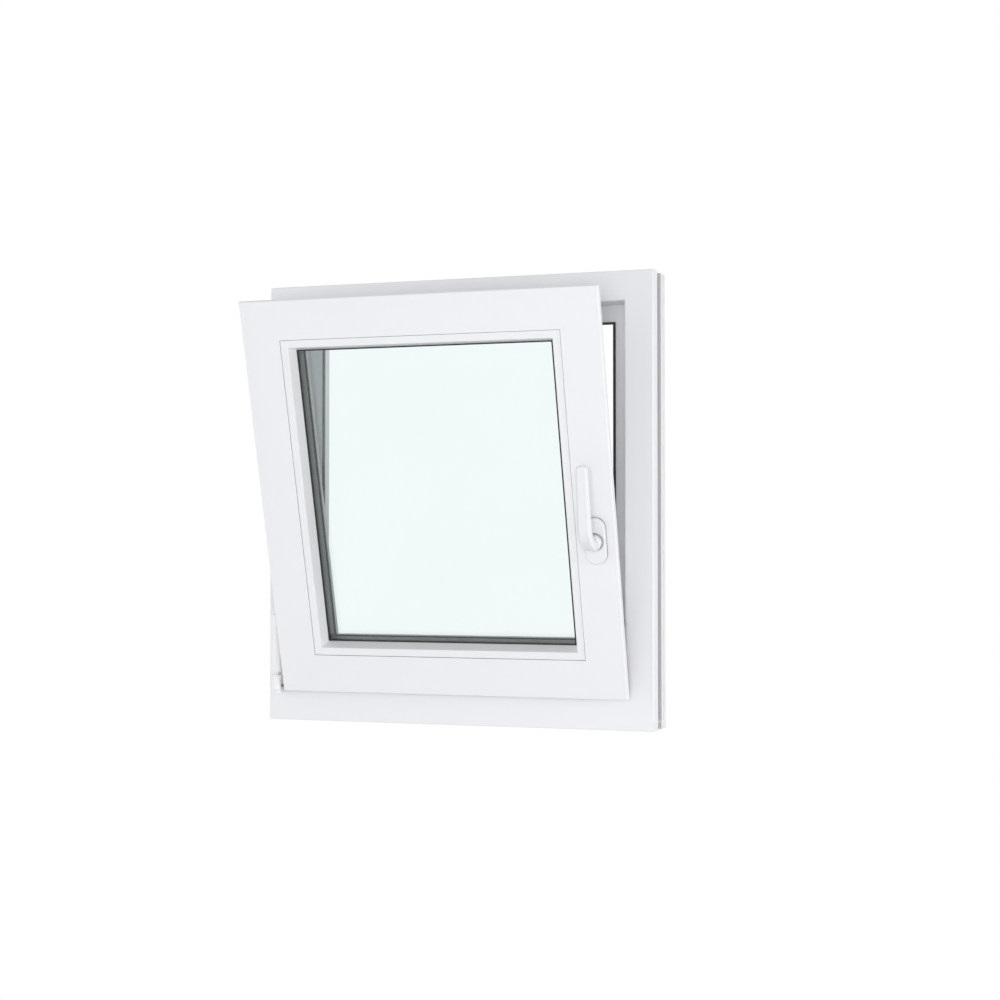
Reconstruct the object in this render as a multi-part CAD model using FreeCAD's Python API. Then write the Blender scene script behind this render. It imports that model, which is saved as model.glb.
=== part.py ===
"""Tilt and turn window: a white plastic frame with one sash, hinged on the left as seen from the room.

The frame stands on its sill. X runs to the right as seen from the room, Y to the outside and Z up.
The sash is drawn shut and then leaned into the room by its tilt angle, which is how it is stored.
Sections are drawn as (inward, depth) pairs: inward from the outer edge, and depth from the room side.
"""
import FreeCAD
import Part
import math
import os

from FreeCAD import Vector

# Overall sizes of the fixed frame
FRAME_WIDTH = 600.0
FRAME_HEIGHT = 656.0
FRAME_DEPTH = 70.0

# Section of the frame profile
FRAME_FACE = 43.0
STOP_REACH = 26.0
STOP_THICKNESS = 23.5
FRAME_EDGE_RADIUS = 2.0
REBATE_EDGE_RADIUS = 3.0
STOP_EDGE_RADIUS = 4.0
SILL_BASE = 12.0
SEAT_STRIP = 23.0
ANCHOR_GROOVE_WIDTH = 20.0
ANCHOR_GROOVE_DEPTH = 10.0
MIDDLE_STRIP = 11.0
CLIP_GROOVE_WIDTH = 5.0
CLIP_GROOVE_DEPTH = 3.0

# How far the sash covers the frame's face, and the air between them when shut
SIDE_COVER = 10.0
SILL_COVER = 9.0
HEAD_COVER = 20.0
CLOSED_GAP = 6.5

# Section of the sash profile
SASH_DEPTH = 61.0
SASH_FACE = 57.5
LIP_THICKNESS = 14.0
LIP_EDGE_THICKNESS = 9.0
LIP_TAPER = 2.5
LIP_REACH = 32.0
SHELF_DEPTH = 35.5
SHELF_STEP = 2.0
SASH_EDGE_RADIUS = 2.0
SASH_BACK_RADIUS = 2.0

# Glazing bead, panes and the bar between them
BEAD_FLAT = 11.5
BEAD_SLOPE = 5.5
BEAD_RECESS = 0.8
BEAD_DEPTH = 16.7
BEAD_SLIT_WIDTH = 0.8
BEAD_SLIT_DEPTH = 3.0
BEAD_EDGE_RADIUS = 1.5
GLASS_GASKET = 2.5
GASKET_SHOW = 2.0
GASKET_GRIP = 6.0
PANE_THICKNESS = 4.0
PANE_CAVITY = 16.0
PANE_COVER = 12.0
SPACER_SHOW = 1.0

# Seals on the frame's stop and behind the sash's lip
STOP_SEAL_HEIGHT = 4.0
STOP_SEAL_WIDTH = 3.4
STOP_SEAL_SHOW = 2.4
LIP_SEAL_HEIGHT = 3.0
LIP_SEAL_WIDTH = 5.0
LIP_SEAL_INSET = 3.0
SEAL_RADIUS = 1.2

# Hinge side: turn axis, tilt axis and the knuckles round them
TILT_ANGLE = 15.2
TURN_OFFSET = 13.5
PIVOT_DEPTH = 6.0
TILT_RISE = 6.5
KNUCKLE_RADIUS = 7.5
HINGE_PIN_RADIUS = 3.0
TILT_PIN_RADIUS = 2.0
TILT_PIN_REACH = 14.0
RUNNING_CLEARANCE = 0.3
FOOT_THICKNESS = 4.0
CUP_HEIGHT = 22.5
CUP_BELOW_AXIS = 7.0
KNUCKLE_GAP = 4.5
COVER_HEIGHT = 88.0
COVER_BEVEL = 2.0
HINGE_PLATE_THICKNESS = 2.0
HINGE_PLATE_WIDTH = 6.0
HINGE_PLATE_MARGIN = 6.0

# Stay that holds the sash at the top
STAY_LENGTH = 320.0
STAY_WIDTH = 12.0
STAY_THICKNESS = 2.5
STAY_ABOVE_SASH = 7.2
STAY_BARREL_HEIGHT = 15.0
STAY_PLATE_THICKNESS = 2.0
STAY_PLATE_FROM_FRAME = 1.0
STAY_BORE_CLEARANCE = 0.8
STAY_BARREL_GAP = 0.6
SLIDER_RADIUS = 4.0
SLIDER_HEIGHT = 6.0
SLOT_CLEARANCE = 2.0
SLOT_DEPTH = 7.0

# Locking fittings in the gap round the sash
FACEPLATE_WIDTH = 16.0
FACEPLATE_THICKNESS = 3.0
FACEPLATE_INSET = 3.0
CAM_RADIUS = 5.0
CAM_WAIST_RADIUS = 3.0
CAM_HEIGHT = 12.0
CAM_HEAD = 2.5
CAM_SIDE_INSET = 80.0
CAM_RAIL_OFFSET = 120.0
STRIKER_LENGTH = 64.0
STRIKER_WIDTH = 26.0
STRIKER_PLATE = 3.0
STRIKER_NOSE = 10.0
STRIKER_NOSE_LENGTH = 20.0
STRIKER_NOSE_DEPTH = 6.0
STRIKER_EDGE_RADIUS = 1.5

# Handle
HANDLE_ABOVE_SASH = 234.0
HANDLE_FROM_EDGE = 28.5
ROSETTE_WIDTH = 30.0
ROSETTE_HEIGHT = 66.0
ROSETTE_THICKNESS = 9.0
ROSETTE_BEVEL = 1.5
NECK_RADIUS = 11.0
NECK_SINK = 5.0
NECK_BEVEL = 1.5
LEVER_STAND_OFF = 51.0
LEVER_RISE = 115.0
LEVER_LEAN = 5.5
LEVER_BEND_RADIUS = 30.0
LEVER_ROOT_WIDTH = 19.0
LEVER_ROOT_THICKNESS = 14.0
LEVER_TIP_WIDTH = 16.5
LEVER_TIP_THICKNESS = 12.0
LEVER_END_BEVEL = 2.5

# Fixing holes through the jambs, and drain caps on the outside of the sill
ANCHOR_HOLE_RADIUS = 3.25
ANCHOR_FROM_CORNER = 150.0
DRAIN_CAP_LENGTH = 42.0
DRAIN_CAP_HEIGHT = 12.0
DRAIN_CAP_PROUD = 2.0
DRAIN_CAP_INSET = 110.0
DRAIN_CAP_RISE = 24.0
DRAIN_CAP_CHAMFER = 0.8

# Share of a half width that an end is rounded by, so that a sliver of flat stays between two arcs
ROUND_END = 0.999

# How far off a plane an edge may lie when edges are picked for rounding
PICK_TOLERANCE = 0.01

# Places worked out from the sizes above
HALF_WIDTH = FRAME_WIDTH / 2
ROOM_FACE_Y = -SEAT_STRIP / 2
STOP_EDGE = FRAME_FACE + STOP_REACH
STOP_DEPTH = FRAME_DEPTH - STOP_THICKNESS
SASH_HALF = HALF_WIDTH - FRAME_FACE + SIDE_COVER
SASH_BOTTOM = SILL_BASE + FRAME_FACE - SILL_COVER
SASH_TOP = FRAME_HEIGHT - FRAME_FACE + HEAD_COVER
SASH_FRONT_Y = ROOM_FACE_Y - CLOSED_GAP - LIP_THICKNESS
SIGHT_LINE = SASH_FACE + BEAD_FLAT + BEAD_SLOPE
PANE_EDGE = SIGHT_LINE - PANE_COVER
INNER_PANE_DEPTH = BEAD_RECESS + BEAD_DEPTH + GLASS_GASKET
OUTER_PANE_DEPTH = INNER_PANE_DEPTH + PANE_THICKNESS + PANE_CAVITY
GLAZING_LIP_DEPTH = OUTER_PANE_DEPTH + PANE_THICKNESS + GLASS_GASKET
TURN_X = -SASH_HALF - TURN_OFFSET
PIVOT_Y = SASH_FRONT_Y + PIVOT_DEPTH
TILT_Z = SASH_BOTTOM + TILT_RISE
FACEPLATE_DEPTH = LIP_THICKNESS + FACEPLATE_INSET
FITTING_DEPTH = FACEPLATE_DEPTH + FACEPLATE_WIDTH / 2
SHELF_TOP = SASH_TOP - LIP_REACH
STAY_LOW_Z = SHELF_TOP + STAY_ABOVE_SASH
CUP_LOW_Z = TILT_Z - CUP_BELOW_AXIS
CUP_HIGH_Z = CUP_LOW_Z + CUP_HEIGHT
COVER_LOW_Z = CUP_HIGH_Z + KNUCKLE_GAP
BARREL_HIGH_Z = STAY_LOW_Z - STAY_BARREL_GAP
BARREL_LOW_Z = BARREL_HIGH_Z - STAY_BARREL_HEIGHT
HANDLE_X = SASH_HALF - HANDLE_FROM_EDGE
HANDLE_Z = SASH_BOTTOM + HANDLE_ABOVE_SASH

FRAME_RECT = (-HALF_WIDTH, SILL_BASE, HALF_WIDTH, FRAME_HEIGHT)
SASH_RECT = (-SASH_HALF, SASH_BOTTOM, SASH_HALF, SASH_TOP)
SIDES = ("top", "bottom", "left", "right")
X_AXIS = Vector(1, 0, 0)
Y_AXIS = Vector(0, 1, 0)
Z_AXIS = Vector(0, 0, 1)


def corner_arc(before, corner, after, radius):
    """Return the start, middle and end of the arc that rounds one corner of an outline."""
    here = Vector(corner[0], corner[1], 0)
    back = (Vector(before[0], before[1], 0) - here).normalize()
    ahead = (Vector(after[0], after[1], 0) - here).normalize()
    half = back.getAngle(ahead) / 2
    bisector = (back + ahead).normalize()
    reach = radius / math.tan(half)
    centre = here + bisector * (radius / math.sin(half))
    return here + back * reach, centre - bisector * radius, here + ahead * reach


def outline_face(points, place):
    """Return a face from (a, b) or (a, b, corner radius) points, each put in space by place(a, b)."""
    spans = []
    for index, point in enumerate(points):
        if len(point) == 3:
            after = points[(index + 1) % len(points)]
            arc = corner_arc(points[index - 1], point, after, point[2])
            spans.append([place(p.x, p.y) for p in arc])
        else:
            spans.append([place(*point)])
    edges = []
    for index, span in enumerate(spans):
        if len(span) == 3:
            edges.append(Part.Arc(*span).toShape())
        edges.append(Part.LineSegment(span[-1], spans[(index + 1) % len(spans)][0]).toShape())
    return Part.Face(Part.Wire(edges))


def flat_prism(corners, low_y, high_y):
    """Return a prism with (x, z) corners that reaches from low_y to high_y."""
    face = outline_face(corners, lambda x, z: Vector(x, low_y, z))
    return face.extrude(Vector(0, high_y - low_y, 0))


def box(low, high):
    """Return a box between two corners."""
    size = Vector(*high) - Vector(*low)
    return Part.makeBox(size.x, size.y, size.z, Vector(*low))


def stadium(width, height):
    """Return the corners of an upright outline with round ends, about its own middle."""
    radius = width / 2 * ROUND_END
    half = height / 2
    return [(-width / 2, -half, radius), (width / 2, -half, radius),
            (width / 2, half, radius), (-width / 2, half, radius)]


def side_prism(section, rect, side, front_y):
    """Return one straight length of a section along a side of a rectangle, before its mitres."""
    low_x, low_z, high_x, high_z = rect
    places = {
        "top": lambda a, b: Vector(low_x, front_y + b, high_z - a),
        "bottom": lambda a, b: Vector(low_x, front_y + b, low_z + a),
        "left": lambda a, b: Vector(low_x + a, front_y + b, low_z),
        "right": lambda a, b: Vector(high_x - a, front_y + b, low_z),
    }
    run = Vector(high_x - low_x, 0, 0) if side in ("top", "bottom") else Vector(0, 0, high_z - low_z)
    return outline_face(section, places[side]).extrude(run)


def mitre_block(rect, side, reach, low_y, high_y):
    """Return the wedge that cuts both ends of a side's length at 45 degrees."""
    low_x, low_z, high_x, high_z = rect
    corners = {
        "top": [(low_x, high_z), (high_x, high_z), (high_x - reach, high_z - reach),
                (low_x + reach, high_z - reach)],
        "bottom": [(low_x, low_z), (high_x, low_z), (high_x - reach, low_z + reach),
                   (low_x + reach, low_z + reach)],
        "left": [(low_x, low_z), (low_x + reach, low_z + reach), (low_x + reach, high_z - reach),
                 (low_x, high_z)],
        "right": [(high_x, low_z), (high_x - reach, low_z + reach), (high_x - reach, high_z - reach),
                  (high_x, high_z)],
    }
    return flat_prism(corners[side], low_y, high_y)


def mitred_side(section, rect, side, front_y):
    """Return one mitred length of a section on a side of a rectangle."""
    reach = max(point[0] for point in section)
    depths = [point[1] for point in section]
    block = mitre_block(rect, side, reach, front_y + min(depths), front_y + max(depths))
    return side_prism(section, rect, side, front_y).common(block)


def mitred_ring(section, rect, front_y):
    """Return one closed ring of a section round a rectangle."""
    lengths = [mitred_side(section, rect, side, front_y) for side in SIDES]
    return lengths[0].multiFuse(lengths[1:]).removeSplitter()


def frame_section(base):
    """Return the frame profile, with a base that reaches past the outer edge."""
    clip_low = FRAME_DEPTH - MIDDLE_STRIP - CLIP_GROOVE_WIDTH
    groove_high = SEAT_STRIP + ANCHOR_GROOVE_WIDTH
    return [
        (-base, 0, FRAME_EDGE_RADIUS),
        (FRAME_FACE, 0, REBATE_EDGE_RADIUS),
        (FRAME_FACE, STOP_DEPTH),
        (STOP_EDGE, STOP_DEPTH),
        (STOP_EDGE, FRAME_DEPTH, STOP_EDGE_RADIUS),
        (-base, FRAME_DEPTH, FRAME_EDGE_RADIUS),
        (-base, clip_low + CLIP_GROOVE_WIDTH),
        (CLIP_GROOVE_DEPTH - base, clip_low + CLIP_GROOVE_WIDTH),
        (CLIP_GROOVE_DEPTH - base, clip_low),
        (-base, clip_low),
        (-base, groove_high),
        (ANCHOR_GROOVE_DEPTH - base, groove_high),
        (ANCHOR_GROOVE_DEPTH - base, SEAT_STRIP),
        (-base, SEAT_STRIP),
    ]


def sash_section():
    """Return the sash profile: lip, shelf for the fittings, glazing rebate and outer glazing lip."""
    groove_end = FACEPLATE_DEPTH + FACEPLATE_WIDTH
    groove_floor = LIP_REACH + FACEPLATE_THICKNESS
    return [
        (0, 0, SASH_EDGE_RADIUS),
        (SASH_FACE, 0),
        (SASH_FACE, GLAZING_LIP_DEPTH),
        (SIGHT_LINE, GLAZING_LIP_DEPTH),
        (SIGHT_LINE, SASH_DEPTH, STOP_EDGE_RADIUS),
        (LIP_REACH + SHELF_STEP, SASH_DEPTH, SASH_BACK_RADIUS),
        (LIP_REACH + SHELF_STEP, SHELF_DEPTH),
        (LIP_REACH, SHELF_DEPTH),
        (LIP_REACH, groove_end),
        (groove_floor, groove_end),
        (groove_floor, FACEPLATE_DEPTH),
        (LIP_REACH, FACEPLATE_DEPTH),
        (LIP_REACH, LIP_THICKNESS),
        (LIP_TAPER, LIP_THICKNESS),
        (0, LIP_EDGE_THICKNESS),
    ]


def bead_section():
    """Return the glazing bead: a slit beside the sash, a flat front, then a slope to the glass."""
    back = BEAD_RECESS + BEAD_DEPTH
    return [
        (SASH_FACE, BEAD_RECESS + BEAD_SLIT_DEPTH),
        (SASH_FACE + BEAD_SLIT_WIDTH, BEAD_RECESS + BEAD_SLIT_DEPTH),
        (SASH_FACE + BEAD_SLIT_WIDTH, BEAD_RECESS),
        (SASH_FACE + BEAD_FLAT, BEAD_RECESS, BEAD_EDGE_RADIUS),
        (SIGHT_LINE, back),
        (SASH_FACE, back),
    ]


def strip_section(low, high, near, far):
    """Return a plain rectangular section."""
    return [(low, near), (high, near), (high, far), (low, far)]


def seal_section(low, high, near, far, round_near):
    """Return a soft seal's section, round on its free side."""
    if round_near:
        return [(low, near, SEAL_RADIUS), (high, near, SEAL_RADIUS), (high, far), (low, far)]
    return [(low, near), (high, near), (high, far, SEAL_RADIUS), (low, far, SEAL_RADIUS)]


def anchor_holes(side_sign):
    """Return the two fixing holes through one jamb, as cutters."""
    depth_y = ROOM_FACE_Y + SEAT_STRIP + ANCHOR_GROOVE_WIDTH / 2
    start_x = HALF_WIDTH if side_sign > 0 else -HALF_WIDTH
    cutters = []
    for height in (ANCHOR_FROM_CORNER, FRAME_HEIGHT - ANCHOR_FROM_CORNER):
        start = Vector(start_x, depth_y, height)
        cutters.append(Part.makeCylinder(ANCHOR_HOLE_RADIUS, STOP_EDGE, start, X_AXIS * -side_sign))
    return cutters


def make_frame_lengths():
    """Return the four mitred lengths of the fixed frame."""
    plain = frame_section(0)
    head = mitred_side(plain, FRAME_RECT, "top", ROOM_FACE_Y)
    left = mitred_side(plain, FRAME_RECT, "left", ROOM_FACE_Y)
    right = mitred_side(plain, FRAME_RECT, "right", ROOM_FACE_Y)
    low_x, low_z, high_x, _ = FRAME_RECT
    sill_corners = [(low_x, low_z - SILL_BASE), (high_x, low_z - SILL_BASE), (high_x, low_z),
                    (high_x - STOP_EDGE, low_z + STOP_EDGE), (low_x + STOP_EDGE, low_z + STOP_EDGE),
                    (low_x, low_z)]
    sill = side_prism(frame_section(SILL_BASE), FRAME_RECT, "bottom", ROOM_FACE_Y)
    sill = sill.common(flat_prism(sill_corners, ROOM_FACE_Y, ROOM_FACE_Y + FRAME_DEPTH))
    return {
        "frame_head": head,
        "frame_sill": sill,
        "frame_jamb_left": left.cut(anchor_holes(-1)),
        "frame_jamb_right": right.cut(anchor_holes(1)),
    }


def make_stop_seal():
    """Return the dark seal round the inner edge of the frame's stop."""
    high = STOP_EDGE + STOP_SEAL_SHOW
    section = seal_section(high - STOP_SEAL_WIDTH, high, STOP_DEPTH - STOP_SEAL_HEIGHT, STOP_DEPTH, True)
    return mitred_ring(section, FRAME_RECT, ROOM_FACE_Y)


def make_drain_caps():
    """Return the two covers over the drain slots on the outside of the sill."""
    back_y = ROOM_FACE_Y + FRAME_DEPTH
    caps = []
    for sign in (-1, 1):
        centre_x = sign * (HALF_WIDTH - DRAIN_CAP_INSET)
        cap = outline_face(
            stadium(DRAIN_CAP_HEIGHT, DRAIN_CAP_LENGTH),
            lambda a, b, x=centre_x: Vector(x + b, back_y, DRAIN_CAP_RISE + a),
        ).extrude(Vector(0, DRAIN_CAP_PROUD, 0))
        rim = [edge for edge in cap.Edges if edge.BoundBox.YMin > back_y + DRAIN_CAP_PROUD / 2]
        caps.append(cap.makeChamfer(DRAIN_CAP_CHAMFER, rim))
    return Part.makeCompound(caps)


def knuckle_column(low_z, high_z):
    """Return a hinge cover on the frame's face: flat sides and a front rounded about the turn axis."""
    half = KNUCKLE_RADIUS
    front = PIVOT_Y - KNUCKLE_RADIUS
    points = [(TURN_X - half, ROOM_FACE_Y), (TURN_X - half, front, half * ROUND_END),
              (TURN_X + half, front, half * ROUND_END), (TURN_X + half, ROOM_FACE_Y)]
    return outline_face(points, lambda x, y: Vector(x, y, low_z)).extrude(Vector(0, 0, high_z - low_z))


def round_bar(radius, low_z, high_z):
    """Return an upright cylinder on the turn axis."""
    return Part.makeCylinder(radius, high_z - low_z, Vector(TURN_X, PIVOT_Y, low_z))


def hinge_plate(low_z, high_z):
    """Return the flat steel plate that screws a bearing to the frame's face."""
    left_x = TURN_X - KNUCKLE_RADIUS
    front_y = ROOM_FACE_Y - HINGE_PLATE_THICKNESS
    return box((left_x, front_y, low_z), (left_x + HINGE_PLATE_WIDTH, ROOM_FACE_Y, high_z))


def make_corner_bearing():
    """Return the lower bearing and its cover: a foot under the cup, a pin through it and a plate."""
    foot_low = CUP_LOW_Z - RUNNING_CLEARANCE - FOOT_THICKNESS
    cover_high = COVER_LOW_Z + COVER_HEIGHT
    pin_high = COVER_LOW_Z + HINGE_PLATE_MARGIN
    plate = hinge_plate(foot_low, cover_high - HINGE_PLATE_MARGIN)
    foot = knuckle_column(foot_low, foot_low + FOOT_THICKNESS)
    pin = round_bar(HINGE_PIN_RADIUS, foot_low, pin_high)
    bearing = foot.multiFuse([pin, plate]).removeSplitter()
    cover = knuckle_column(COVER_LOW_Z, cover_high)
    rim = [edge for edge in cover.Edges
           if edge.BoundBox.ZMin > cover_high - PICK_TOLERANCE
           and edge.BoundBox.YMin < ROOM_FACE_Y - PICK_TOLERANCE]
    return bearing, cover.makeChamfer(COVER_BEVEL, rim).cut(bearing)


def make_stay_bearing():
    """Return the upper bearing and its cover: a pin up through the stay's barrel, under a lug."""
    cover_high = BARREL_LOW_Z - STAY_BARREL_GAP
    cover_low = cover_high - COVER_HEIGHT
    lug_low = BARREL_HIGH_Z + STAY_BARREL_GAP
    lug_high = lug_low + FOOT_THICKNESS
    plate = hinge_plate(cover_low + HINGE_PLATE_MARGIN, lug_high)
    lug = knuckle_column(lug_low, lug_high)
    pin = round_bar(HINGE_PIN_RADIUS, cover_high - HINGE_PLATE_MARGIN, lug_low)
    bearing = lug.multiFuse([pin, plate]).removeSplitter()
    return bearing, knuckle_column(cover_low, cover_high).cut(bearing)


def make_pivot():
    """Return the cup that turns on the lower pin, and the level pin on which the sash tilts."""
    cup = round_bar(KNUCKLE_RADIUS, CUP_LOW_Z, CUP_HIGH_Z)
    bore = round_bar(HINGE_PIN_RADIUS + RUNNING_CLEARANCE, CUP_LOW_Z, CUP_HIGH_Z)
    pin_start = TURN_X + HINGE_PIN_RADIUS + 2 * RUNNING_CLEARANCE
    pin_end = -SASH_HALF + TILT_PIN_REACH
    tilt_pin = Part.makeCylinder(
        TILT_PIN_RADIUS, pin_end - pin_start, Vector(pin_start, PIVOT_Y, TILT_Z), X_AXIS)
    return cup.cut(bore).cut(tilt_pin), tilt_pin


def tilt_bore():
    """Return the cutter for the hole in the sash that the level pin goes into."""
    reach = TILT_PIN_REACH + 2 * RUNNING_CLEARANCE
    start = Vector(-SASH_HALF - TURN_OFFSET, PIVOT_Y, TILT_Z)
    return Part.makeCylinder(TILT_PIN_RADIUS + RUNNING_CLEARANCE, TURN_OFFSET + reach, start, X_AXIS)


def slider_slot():
    """Return the cutter for the slot in the top of the sash that the stay's slider runs in."""
    half = SLIDER_RADIUS + SLOT_CLEARANCE
    middle_y = SASH_FRONT_Y + FITTING_DEPTH
    low_x = TURN_X + stay_motion()[2] - half
    high_x = TURN_X + STAY_LENGTH + half
    return box((low_x, middle_y - half, SHELF_TOP - SLOT_DEPTH), (high_x, middle_y + half, SHELF_TOP))


def make_sash_lengths():
    """Return the four mitred lengths of the sash, shut."""
    section = sash_section()
    lengths = {side: mitred_side(section, SASH_RECT, side, SASH_FRONT_Y) for side in SIDES}
    bore = tilt_bore()
    return {
        "sash_top_rail": lengths["top"].cut(slider_slot()),
        "sash_bottom_rail": lengths["bottom"].cut(bore),
        "sash_stile_left": lengths["left"].cut(bore),
        "sash_stile_right": lengths["right"],
    }


def make_beads():
    """Return the four glazing beads, shut."""
    section = bead_section()
    return {"glazing_bead_" + side: mitred_side(section, SASH_RECT, side, SASH_FRONT_Y) for side in SIDES}


def make_pane(depth):
    """Return one sheet of glass at a depth behind the sash's face."""
    low_x, low_z, high_x, high_z = SASH_RECT
    near_y = SASH_FRONT_Y + depth
    return box((low_x + PANE_EDGE, near_y, low_z + PANE_EDGE),
               (high_x - PANE_EDGE, near_y + PANE_THICKNESS, high_z - PANE_EDGE))


def make_glazing():
    """Return the panes, the spacer between them and the gaskets on both sides."""
    inner_back = INNER_PANE_DEPTH + PANE_THICKNESS
    spacer = strip_section(PANE_EDGE, SIGHT_LINE + SPACER_SHOW, inner_back, OUTER_PANE_DEPTH)
    grip_low = SIGHT_LINE - GASKET_GRIP
    grip_high = SIGHT_LINE + GASKET_SHOW
    inner = strip_section(grip_low, grip_high, INNER_PANE_DEPTH - GLASS_GASKET, INNER_PANE_DEPTH)
    outer = strip_section(grip_low, grip_high, GLAZING_LIP_DEPTH - GLASS_GASKET, GLAZING_LIP_DEPTH)
    return {
        "inner_pane": make_pane(INNER_PANE_DEPTH),
        "outer_pane": make_pane(OUTER_PANE_DEPTH),
        "spacer_bar": mitred_ring(spacer, SASH_RECT, SASH_FRONT_Y),
        "inner_glazing_gasket": mitred_ring(inner, SASH_RECT, SASH_FRONT_Y),
        "outer_glazing_gasket": mitred_ring(outer, SASH_RECT, SASH_FRONT_Y),
    }


def make_lip_seal():
    """Return the seal behind the sash's lip."""
    section = seal_section(LIP_SEAL_INSET, LIP_SEAL_INSET + LIP_SEAL_WIDTH,
                           LIP_THICKNESS, LIP_THICKNESS + LIP_SEAL_HEIGHT, False)
    return mitred_ring(section, SASH_RECT, SASH_FRONT_Y)


def make_faceplates():
    """Return the steel faceplate let into the edge of the sash all round."""
    section = strip_section(LIP_REACH, LIP_REACH + FACEPLATE_THICKNESS,
                            FACEPLATE_DEPTH, FACEPLATE_DEPTH + FACEPLATE_WIDTH)
    return mitred_ring(section, SASH_RECT, SASH_FRONT_Y).cut(slider_slot())


def fitting_places():
    """Return the foot of each locking cam on the shut sash, with the way it points."""
    edge_x = SASH_HALF - LIP_REACH
    low_z = SASH_BOTTOM + LIP_REACH
    depth_y = SASH_FRONT_Y + FITTING_DEPTH
    return [
        (Vector(edge_x, depth_y, SASH_BOTTOM + CAM_SIDE_INSET), X_AXIS),
        (Vector(-CAM_RAIL_OFFSET, depth_y, low_z), Z_AXIS * -1),
        (Vector(CAM_RAIL_OFFSET, depth_y, low_z), Z_AXIS * -1),
    ]


def make_cams():
    """Return the mushroom cams on the faceplate."""
    neck = CAM_HEIGHT - CAM_HEAD
    cams = []
    for foot, way in fitting_places():
        waist = Part.makeCylinder(CAM_WAIST_RADIUS, CAM_HEIGHT, foot, way)
        head = Part.makeCone(CAM_RADIUS, CAM_RADIUS - CAM_HEAD / 2, CAM_HEAD, foot + way * neck, way)
        cams.append(waist.fuse(head).removeSplitter())
    return Part.makeCompound(cams)


def make_strikers():
    """Return the keeps on the frame's rebate: a plate with a block at one end, beside the cam's way."""
    rebate_x = HALF_WIDTH - FRAME_FACE
    rebate_z = SILL_BASE + FRAME_FACE
    plate_low = ROOM_FACE_Y + REBATE_EDGE_RADIUS - SASH_FRONT_Y - FITTING_DEPTH
    nose_high = plate_low + STRIKER_NOSE_DEPTH
    nose_top = STRIKER_PLATE + STRIKER_NOSE
    plate_section = strip_section(0, STRIKER_PLATE, plate_low, plate_low + STRIKER_WIDTH)
    nose_section = [
        (0, plate_low),
        (0, nose_high),
        (nose_top, nose_high, STRIKER_EDGE_RADIUS),
        (nose_top, plate_low, STRIKER_EDGE_RADIUS),
    ]
    strikers = []
    for foot, way in fitting_places():
        run = Z_AXIS if way.x > 0 else X_AXIS
        seat = Vector(rebate_x, foot.y, foot.z) if way.x > 0 else Vector(foot.x, foot.y, rebate_z)
        plate = striker_length(plate_section, seat - run * (STRIKER_LENGTH / 2), way, run * STRIKER_LENGTH)
        nose_start = seat + run * (STRIKER_LENGTH / 2 - STRIKER_NOSE_LENGTH)
        nose = striker_length(nose_section, nose_start, way, run * STRIKER_NOSE_LENGTH)
        strikers.append(plate.fuse(nose).removeSplitter())
    return Part.makeCompound(strikers)


def striker_length(section, start, way, run):
    """Return a section of a keep, which rises against the cam's way, drawn out along its run."""
    return outline_face(section, lambda a, b: start - way * a + Y_AXIS * b).extrude(run)


def make_rosette():
    """Return the oval plate under the handle, with a round seat for the neck."""
    face = outline_face(
        stadium(ROSETTE_WIDTH, ROSETTE_HEIGHT),
        lambda a, b: Vector(HANDLE_X + a, SASH_FRONT_Y, HANDLE_Z + b))
    plate = face.extrude(Vector(0, -ROSETTE_THICKNESS, 0))
    rim = [edge for edge in plate.Edges if edge.BoundBox.YMax < SASH_FRONT_Y - ROSETTE_THICKNESS / 2]
    plate = plate.makeChamfer(ROSETTE_BEVEL, rim)
    seat_start = Vector(HANDLE_X, SASH_FRONT_Y - ROSETTE_THICKNESS + NECK_SINK, HANDLE_Z)
    seat_radius = NECK_RADIUS + RUNNING_CLEARANCE
    return plate.cut(Part.makeCylinder(seat_radius, ROSETTE_THICKNESS, seat_start, Y_AXIS * -1))


def handle_point(out, up):
    """Return a point in the handle's middle plane, out from the sash and up from the handle's axis."""
    return Vector(HANDLE_X, SASH_FRONT_Y - out, HANDLE_Z + up)


def bend_point(reach, angle):
    """Return a point on a circle round the middle of the handle's bend, turned up from the neck."""
    middle_out = LEVER_STAND_OFF - LEVER_BEND_RADIUS
    return handle_point(middle_out + reach * math.sin(angle), LEVER_BEND_RADIUS - reach * math.cos(angle))


def lever_side(reach, tip):
    """Return one side of the lever's outline: an arc round the bend, then a line to the tip's corner."""
    way = tip - bend_point(0, 0)
    end = math.atan2(-way.y, -way.z) - math.acos(reach / way.Length)
    arc = Part.Arc(bend_point(reach, 0), bend_point(reach, end / 2), bend_point(reach, end))
    return [arc.toShape(), Part.LineSegment(bend_point(reach, end), tip).toShape()]


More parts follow.
